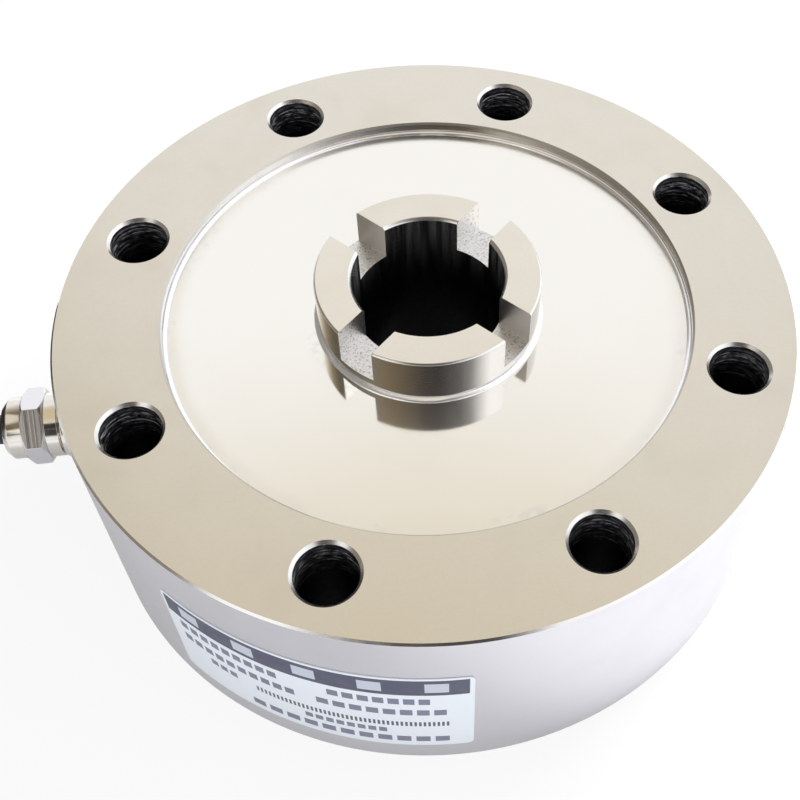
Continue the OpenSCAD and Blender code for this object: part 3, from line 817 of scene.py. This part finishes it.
def gland_nut():
    """Collar, hexagon and cap in one, bored for the sleeve, the seal and the cable."""
    start, hexagon, cap, end = 56.4, 58.3, 61.7, 64.7
    flats, turn = 10.2, 49.4
    corner = flats / 2 / math.cos(math.radians(30))
    bpy.ops.object.select_all(action="DESELECT")
    bpy.ops.mesh.primitive_cylinder_add(
        vertices=6,
        radius=corner * MM,
        depth=(cap - hexagon) * MM,
        location=(0, 0, (hexagon + cap) / 2 * MM),
        rotation=(0, 0, math.radians(turn + 30)),
    )
    nut = bpy.context.object
    nut.name = nut.data.name = "gland_cap_nut"
    settle(nut)
    flat_finish, round_finish = nickel_flat(), nickel_round()
    nut.data.materials.append(flat_finish)
    wide, face = corner + 0.05, flats / 2 - 0.1
    envelope = [(face, hexagon - 0.01), (wide, hexagon + 0.6), (wide, cap - 0.6), (face, cap + 0.01)]
    rounds = [(4.9, start), (4.9, hexagon + 0.5), (4.7, cap - 0.5), (4.7, end - 0.9), (3.8, end)]
    bore = [(4.0, start - 1), (4.0, 61.1), (3.7, 61.1), (3.7, 63.7), (2.45, 63.7), (2.45, end + 1)]
    for name, points, segments, operation in (
        ("envelope", envelope, 128, "INTERSECT"),
        ("rounds", rounds, 128, "UNION"),
        ("bored", bore, 96, "DIFFERENCE"),
    ):
        tool = turned(name, points, segments, loop=False)
        tool.data.materials.append(round_finish)
        combine(nut, tool, operation)
    soften_edges(nut, 0.10, 3)
    moved(nut, on_gland())
    nut.data.materials.append(nickel_scored())
    for flat in nut.data.polygons:
        if flat.area > 4 * MM**2 and flat.normal.y < -0.4 and flat.normal.z > 0.5:
            flat.material_index = len(nut.data.materials) - 1
    smooth(nut, 35, even=True)
    finish_piece(nut, ["gland_nut"])


# Label


def label_finish():
    """Pale film with a dark head band, rows of small blocks and a row of ticks, nothing written."""
    f = Finish("label_film", (0.880, 0.935, 0.995), 0.0, 0.42)
    uv = f.add("TexCoord").outputs["UV"]
    parts = f.add("SeparateXYZ", {0: uv})
    u, v = parts.outputs[0], parts.outputs[1]

    def field(left, right, low, high):
        """1 inside a rectangle of the label."""
        edges = (
            f.math("GREATER_THAN", u, left),
            f.math("LESS_THAN", u, right),
            f.math("GREATER_THAN", v, low),
            f.math("LESS_THAN", v, high),
        )
        inside = edges[0]
        for edge in edges[1:]:
            inside = f.math("MULTIPLY", inside, edge)
        return inside

    def blocks(left, right, low, high, count, fill=0.74):
        """Row of equal blocks, in the place of printing."""
        step = count / (right - left)
        place = f.math("FRACT", f.math("MULTIPLY_ADD", u, step, -left * step))
        return f.math("MULTIPLY", field(left, right, low, high), f.math("LESS_THAN", place, fill))

    ink = (0.070, 0.072, 0.130)
    f.tint(field(0.012, 0.985, 0.775, 0.978), ink)
    f.tint(blocks(0.07, 1.05, 0.815, 0.935, 5, 0.36), (0.60, 0.64, 0.74))
    rows = (
        (0.05, 0.41, 0.640, 0.720, 9), (0.56, 0.88, 0.640, 0.720, 7),
        (0.05, 0.46, 0.480, 0.560, 10), (0.52, 0.93, 0.480, 0.560, 8),
        (0.14, 0.25, 0.335, 0.405, 3), (0.47, 0.74, 0.200, 0.265, 8),
        (0.28, 0.94, 0.065, 0.145, 11),
    )
    for row in rows:
        f.tint(blocks(*row), (0.20, 0.21, 0.30))
    f.tint(blocks(0.31, 0.93, 0.310, 0.375, 44, 0.55), (0.10, 0.10, 0.16))
    f.rough(f.grain(3, 3), 0.38, 0.48)
    f.bump(f.grain(0.5, 2), 0.004)
    return f.mat


def label():
    """Film that follows the wall, with rounded corners and a faint unevenness."""
    width, height, corner, low, middle = 44.0, 23.0, 0.9, 5.2, 246.0
    glue, film = 0.02, 0.12
    bpy.ops.object.select_all(action="DESELECT")
    bpy.ops.mesh.primitive_grid_add(x_subdivisions=72, y_subdivisions=28, size=1)
    obj = bpy.context.object
    obj.name = obj.data.name = "wall_label"
    for v in obj.data.vertices:
        x, y = v.co.x * width, v.co.y * height
        over_x, over_y = abs(x) - (width / 2 - corner), abs(y) - (height / 2 - corner)
        if over_x > 0 and over_y > 0:
            over = math.hypot(over_x, over_y)
            if over > corner:
                x -= math.copysign(over_x * (1 - corner / over), x)
                y -= math.copysign(over_y * (1 - corner / over), y)
        angle = math.radians(middle) + x / BODY_R
        r = BODY_R + glue + 0.006 * noise.noise(Vector((x, y, 4)) / 5)
        v.co = Vector((r * math.cos(angle), r * math.sin(angle), low + height / 2 + y)) * MM
    modify(obj, "SOLIDIFY", thickness=film * MM, offset=1)
    obj.data.materials.append(label_finish())
    smooth(obj, 40)
    finish_piece(obj, ["label"])


# Cable

# Free cable from the gland's nut to the coil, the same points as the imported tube
CABLE_ROUTE = [
    (-64.7, 0, 17.5), (-67.3, 0, 17.5), (-70.3, 0, 17.5), (-73.3, 0, 17.5), (-75.8, 0, 17.5),
    (-78.8, 0, 17.2), (-81.8, 0, 16.5), (-84.8, 0, 15.1), (-87.8, 0, 12.9), (-90.5, 0, 9.9),
    (-93.2, 0, 6.9), (-96.2, 0, 4.7), (-99.2, 0, 3.3), (-102.2, 0, 2.5), (-105.2, 0, 2.25),
    (-108.8, 0, 2.25), (-112.8, 0, 2.25), (-117.3, 0, 2.25), (-121.8, 0, 2.25),
]
COIL_X = -121.8
COIL_MID_R = 27.0
COIL_COLUMNS = 3
COIL_LAYERS = 6
COIL_Y = COIL_MID_R + (COIL_COLUMNS - 1) / 2 * CABLE_D
COIL_TURN = 24
COLUMN_SHIFT = 0.13
LAYER_RISE = 0.15
TAIL_TURNS = 0.25
CORE_FAN = 32
CORE_COLORS = {
    "core_red": (0.48, 0.020, 0.016),
    "core_black": (0.018, 0.018, 0.018),
    "core_green": (0.020, 0.200, 0.060),
    "core_white": (0.78, 0.78, 0.76),
}


def ease(t):
    """Soft step from 0 to 1."""
    t = min(max(t, 0.0), 1.0)
    return t * t * (3 - 2 * t)


def coil_moves():
    """Turn counts at which the winding changes column or layer: (start, length, columns, layers)."""
    moves = []
    back = 0.0
    for layer in range(COIL_LAYERS):
        inward = -1 if layer % 2 == 0 else 1
        first = COIL_COLUMNS * layer + 1 - COLUMN_SHIFT - back
        for i in range(COIL_COLUMNS - 1):
            moves.append((first + i, COLUMN_SHIFT, inward, 0))
        moves.append((first + COIL_COLUMNS - 1 - LAYER_RISE, LAYER_RISE, 0, 1))
        back += COLUMN_SHIFT + LAYER_RISE
    last = moves[-1]
    moves.append((last[0] + LAYER_RISE, COLUMN_SHIFT, -1, 0))
    return moves


def coil_point(turn, moves):
    """Point of the winding after so many turns."""
    column, layer = float(COIL_COLUMNS - 1), 0.0
    for start, length, columns, layers in moves:
        done = ease((turn - start) / length)
        column += columns * done
        layer += layers * done
    r = COIL_MID_R + (column - (COIL_COLUMNS - 1) / 2) * CABLE_D
    angle = math.radians(270 - 360 * turn)
    return (COIL_X + r * math.cos(angle), COIL_Y + r * math.sin(angle), CABLE_D * (layer + 0.5))


def smooth_curve(name, points, diameter, resolution, sides):
    """Round line through points, as a curve of one open spline."""
    data = bpy.data.curves.new(name, "CURVE")
    data.dimensions = "3D"
    data.bevel_depth = diameter / 2 * MM
    data.bevel_resolution = sides
    data.resolution_u = resolution
    data.use_fill_caps = True
    line = data.splines.new("BEZIER")
    line.bezier_points.add(len(points) - 1)
    for knot, point in zip(line.bezier_points, points):
        knot.co = Vector(point) * MM
        knot.handle_left_type = knot.handle_right_type = "AUTO"
    return new_object(name, data)


def core_routes(tail_turn):
    """Ways of the four cores and the screen wire, from the jacket's end down onto the coil."""
    inside = [(-0.8, -0.8), (-0.8, 0.8), (0, 0), (0.8, 0.8), (0.8, -0.8)]
    fan = [-3.2, -1.6, 0, 1.6, 3.2]
    from_angle = 270 - 360 * tail_turn - 0.2
    rest = CABLE_D * COIL_LAYERS + CORE_D / 2
    steps = 12
    routes = []
    for (across, up), place in zip(inside, fan):
        route = []
        for k in range(steps + 1):
            t = k / steps
            blend = ease(t)
            angle = math.radians(from_angle - CORE_FAN * t)
            r = COIL_MID_R + across * (1 - blend) + place * blend
            lift = (1 - blend) * (CABLE_D / 2 - CORE_D / 2 + up)
            route.append((COIL_X + r * math.cos(angle), COIL_Y + r * math.sin(angle), rest + lift))
        routes.append(route)
    return routes


def as_mesh(obj):
    """A curve turned into a mesh."""
    pick(obj)
    bpy.ops.object.convert(target="MESH")
    return bpy.context.object


def stripped_cores(tail_turn):
    """Four insulated cores with tinned ends, and a bare screen wire between them."""
    bare = tinned_copper()
    routes = core_routes(tail_turn)
    middle_route = routes.pop(2)
    parts = []
    for route, (name, color) in zip(routes, CORE_COLORS.items()):
        jacket = as_mesh(smooth_curve("core", route[:10], CORE_D, 4, 3))
        jacket.data.materials.append(plain_plastic(name, color))
        tip = as_mesh(smooth_curve("tip", route[9:], CORE_D * 0.6, 4, 3))
        tip.data.materials.append(bare)
        parts += [jacket, tip]
    screen = as_mesh(smooth_curve("screen", middle_route, CORE_D * 0.8, 4, 3))
    screen.data.materials.append(bare)
    cores = joined("stripped_cores", parts + [screen])
    smooth(cores, 60)
    return finish_piece(cores, ["cable_cores"])


def coil_tie():
    """Flat strap round the coil's section, with its head and a cut tail."""
    half_w, half_h, thick, wide, corner = 6.7, 13.45, 0.7, 2.6, 1.7
    outline = []
    for side, end, start in ((1, 1, 0), (-1, 1, 90), (-1, -1, 180), (1, -1, 270)):
        for i in range(7):
            angle = math.radians(start + 15 * i)
            x = side * (half_w - corner) + corner * math.cos(angle)
            z = end * (half_h - corner) + corner * math.sin(angle)
            outline.append((x, z))
    count = len(outline)
    verts = [(x * MM, y * MM, z * MM) for y in (-wide / 2, wide / 2) for x, z in outline]
    faces = [(i, (i + 1) % count, count + (i + 1) % count, count + i) for i in range(count)]
    mesh = bpy.data.meshes.new("strap")
    mesh.from_pydata(verts, [], faces)
    strap = new_object("strap", mesh)
    pick(strap)
    bpy.ops.object.mode_set(mode="EDIT")
    close_editing()
    modify(strap, "SOLIDIFY", thickness=thick * MM, offset=-1)
    head = block("head", (half_w + 0.1, -2.1, 0), (half_w + 3.3, 2.1, 4.6))
    combine(head, block("passage", (half_w + 0.9, -1.5, -1), (half_w + 2.1, 1.5, 6)), "DIFFERENCE")
    neck = block("neck", (half_w - 0.4, -1.3, 0.2), (half_w + 0.4, 1.3, 4.4))
    tail = block("tail", (half_w + 1.1, -1.3, -1.4), (half_w + 1.9, 1.3, 6.0))
    tie = joined("coil_tie", [strap, head, neck, tail])
    soften_edges(tie, 0.12)
    tie.data.materials.append(plain_plastic("tie_nylon", (0.022, 0.022, 0.022), 0.45, 0.8))
    on_coil = about_z(225) @ shift(COIL_MID_R, 0, CABLE_D * COIL_LAYERS / 2)
    moved(tie, shift(COIL_X, COIL_Y, 0) @ on_coil)
    smooth(tie, 40)
    return finish_piece(tie, ["cable_tie"])


def cable():
    """The whole cable: out of the gland, down to the floor, wound into its coil, tail on top."""
    moves = coil_moves()
    tail_turn = moves[-1][0] + COLUMN_SHIFT + TAIL_TURNS
    steps = round(tail_turn * COIL_TURN)
    winding = [coil_point(tail_turn * i / steps, moves) for i in range(1, steps + 1)]
    obj = smooth_curve("cable_lead", CABLE_ROUTE + winding, CABLE_D, 3, 4)
    obj.data.materials.append(cable_jacket())
    finish_piece(obj, ["cable", "cable_coil"])
    tie = coil_tie()
    cores = stripped_cores(tail_turn)


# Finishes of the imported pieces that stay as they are


def gauge_film():
    """Amber film of the gauges, a little uneven."""
    f = Finish("gauge_film", (0.48, 0.22, 0.045), 0.0, 0.30)
    f.tint(f.ramp(f.grain(0.5, 2), 0.45, 0.60, 0, 0.5), (0.55, 0.30, 0.09))
    f.bump(f.grain(0.2, 2), 0.01)
    return f.mat


def finish_kept_nodes():
    """Gives each kept CAD node its finish, by the start of its name."""
    copper = Finish("terminal_metal", (0.72, 0.55, 0.30), 1.0, 0.32)
    copper.bump(copper.grain(0.4, 3), 0.02)
    board = Finish("board_laminate", (0.020, 0.130, 0.055), 0.0, 0.30)
    board.tint(board.ramp(board.grain(0.9, 2), 0.45, 0.6, 0, 0.5), (0.03, 0.17, 0.08))
    board.bump(board.grain(0.3, 2), 0.01)
    finishes = {
        "strain_gauge": gauge_film(),
        "solder_terminals": copper.mat,
        "gauge_leads": plain_plastic("lead_insulation", (0.42, 0.030, 0.022), 0.35, 0.3),
        "bridge_board": board.mat,
        "zero_resistor": plain_plastic("resistor_blue", (0.10, 0.24, 0.45), 0.3, 0.4),
        "span_resistor": plain_plastic("resistor_blue", (0.10, 0.24, 0.45), 0.3, 0.4),
        "temperature_resistor": plain_plastic("resistor_tan", (0.45, 0.22, 0.08), 0.3, 0.4),
        "gland_seal": plain_plastic("seal_rubber", (0.020, 0.020, 0.020), 0.6, 0.3),
        "sealing_washer": plain_plastic("washer_rubber", (0.022, 0.022, 0.022), 0.55, 0.3),
        "thrust_washer": plain_plastic("washer_nylon", (0.68, 0.67, 0.62), 0.4, 0.5),
        "inner_cable": cable_jacket(),
    }
    for name, color in CORE_COLORS.items():
        finishes[name] = plain_plastic("inner_" + name, color, 0.35, 0.3)
    for name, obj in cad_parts.items():
        for start, finish in finishes.items():
            if name.startswith(start):
                obj.data.materials.clear()
                obj.data.materials.append(finish)


# Room: floor, sky and lamp


def floor():
    """Pale floor: near white to the camera, with a deeper shadow where the metal mirrors it."""
    bpy.ops.object.select_all(action="DESELECT")
    bpy.ops.mesh.primitive_plane_add(size=6, location=(0, 0, 0))
    obj = bpy.context.object
    obj.name = "floor"
    f = Finish("pale_floor", (0.80, 0.80, 0.81), 0.0, 0.9)
    f.shader.inputs["Specular IOR Level"].default_value = 0.0
    rays = f.add("LightPath").outputs
    share = f.math("MULTIPLY", rays["Is Camera Ray"], 0.87)
    share = f.math("MULTIPLY_ADD", rays["Is Glossy Ray"], 0.08, share)
    share = f.math("MULTIPLY_ADD", rays["Is Transmission Ray"], 0.08, share)
    light = f.add("Emission", {0: (1, 1, 1, 1)})
    mix = f.add("MixShader", {0: share, 1: f.shader.outputs[0], 2: light.outputs[0]})
    f.tree.links.new(mix.outputs[0], f.tree.nodes["Material Output"].inputs[0])
    obj.data.materials.append(f.mat)


# What stands round the cell, for reflections: direction in degrees, tone, share of the room it hides
ROOM_AROUND = (
    (-180, (0.185, 0.17, 0.145, 1)),
    (-160, (0.26, 0.235, 0.19, 1)),
    (-146, (0.24, 0.185, 0.12, 1)),
    (-127, (0.16, 0.125, 0.08, 1)),
    (-104, (0.060, 0.050, 0.045, 1)),
    (-86, (0.040, 0.038, 0.040, 1)),
    (-66, (0.13, 0.125, 0.13, 1)),
    (-52, (0.32, 0.31, 0.32, 1)),
    (-41, (0.84, 0.83, 0.84, 1)),
    (-30, (1.35, 1.34, 1.36, 1)),
    (5, (1.25, 1.25, 1.26, 1)),
    (35, (0.80, 0.79, 0.78, 1)),
    (60, (0.96, 0.95, 0.95, 1)),
    (72, (1.02, 1.01, 1.01, 0)),
    (104, (1.04, 1.02, 1.00, 0)),
    (113, (0.88, 0.83, 0.74, 1)),
    (122, (0.62, 0.55, 0.44, 1)),
    (133, (0.32, 0.26, 0.18, 1)),
    (148, (0.14, 0.12, 0.09, 1)),
    (180, (0.185, 0.17, 0.145, 1)),
)

# Patches behind those: direction, half width, soft side, low, high and soft edge in degrees, and tone
ROOM_PATCHES = (
    ((-4, 40, 14, -10, 70, 7), (1.22, 1.23, 1.26)),
    ((164, 42, 8, -10, 38, 5), (0.23, 0.205, 0.17)),
    ((268, 18, 10, 12, 40, 5), (0.06, 0.055, 0.055)),
    ((247, 16, 6, 22, 44, 2), (0.10, 0.09, 0.075)),
)

# The bright patch before those, which the rim's turned edge mirrors
EDGE_LIGHT = ((229, 8, 4, 26, 40.5, 1.5), (1.15, 1.10, 1.0))


def sky():
    """White for the camera; for reflections a pale room with the darker shapes of what stands in it."""
    world = bpy.data.worlds.new("studio")
    bpy.context.scene.world = world
    world.use_nodes = True
    tree = world.node_tree
    tree.nodes.clear()

    def node(kind, inputs=None, **settings):
        return add_node(tree, kind, inputs, **settings)

    def fade(value, start, end):
        """0 to 1, softly, while the value goes from start to end."""
        return node("MapRange", {0: value, 1: start, 2: end}, interpolation_type="SMOOTHSTEP").outputs[0]

    def times(a, b):
        return node("Math", {0: a, 1: b}, operation="MULTIPLY").outputs[0]

    ray = node("TexCoord").outputs["Generated"]
    height = node("SeparateXYZ", {0: ray}).outputs["Z"]
    level = node("VectorMath", {0: ray, 1: (1, 1, 0)}, operation="MULTIPLY").outputs[0]
    level = node("VectorMath", {0: level}, operation="NORMALIZE").outputs[0]

    def climb(start, end):
        """0 to 1 while the direction's height goes from start to end, in degrees."""
        return fade(height, math.sin(math.radians(start)), math.sin(math.radians(end)))

    def patch(turn, half, soft, low, high, edge):
        """1 inside a patch of the sky."""
        middle = (math.cos(math.radians(turn)), math.sin(math.radians(turn)), 0)
        side = node("VectorMath", {0: level, 1: middle}, operation="DOT_PRODUCT").outputs["Value"]
        side = fade(side, math.cos(math.radians(half + soft)), math.cos(math.radians(half - soft)))
        return times(side, times(climb(low - edge, low + edge), climb(high + edge, high - edge)))

    def over(under, factor, color):
        """Mixes a colour or a socket in over what is there."""
        if isinstance(color, tuple):
            color = (*color, 1)
        mix = node("Mix", {"Factor": factor, "A": under, "B": color}, data_type="RGBA")
        return mix.outputs["Result"]

    parts = node("SeparateXYZ", {0: level}).outputs
    bearing = node("Math", {0: parts["Y"], 1: parts["X"]}, operation="ARCTAN2").outputs[0]
    bearing = node("MapRange", {0: bearing, 1: -math.pi, 2: math.pi}).outputs[0]
    around = node("ValToRGB", {0: bearing})
    stops = around.color_ramp.elements
    for degrees, tone in ROOM_AROUND:
        if degrees == -180:
            stop = stops[0]
        elif degrees == 180:
            stop = stops[-1]
        else:
            stop = stops.new((degrees + 180) / 360)
        stop.color = tone

    room = over((1.03, 1.03, 1.05, 1), fade(height, 0.75, 0.97), (0.73, 0.63, 0.455))
    for place, tone in ROOM_PATCHES:
        room = over(room, patch(*place), tone)
    belt = times(climb(35, 41), climb(61, 56))
    room = over(room, times(belt, around.outputs["Alpha"]), around.outputs["Color"])
    place, tone = EDGE_LIGHT
    room = over(room, patch(*place), tone)
    rays = node("LightPath").outputs
    room = over(room, rays["Is Diffuse Ray"], (0.88, 0.88, 0.89))
    room = over(room, rays["Is Camera Ray"], (1.0, 1.0, 1.0))
    shine = node("Background", {"Color": room, "Strength": 1.0})
    node("OutputWorld", {0: shine.outputs[0]})


def window_lamp():
    """Soft lamp at the right and behind, which lays the shadow on the floor."""
    data = bpy.data.lights.new("window", "AREA")
    data.shape = "DISK"
    data.size = 0.45
    data.energy = 9.5
    obj = new_object("window", data)
    obj.location = (0.54, 0.42, 0.52)
    aim = Vector((0, 0, 0.02)) - obj.location
    obj.rotation_euler = aim.to_track_quat("-Z", "Y").to_euler()
    obj.visible_glossy = False


place_camera()
cable()
cell_body()
covers_and_welds()
gland_body()
gland_nut()
label()
finish_kept_nodes()
floor()
sky()
window_lamp()

bpy.context.scene.view_settings.view_transform = "Standard"
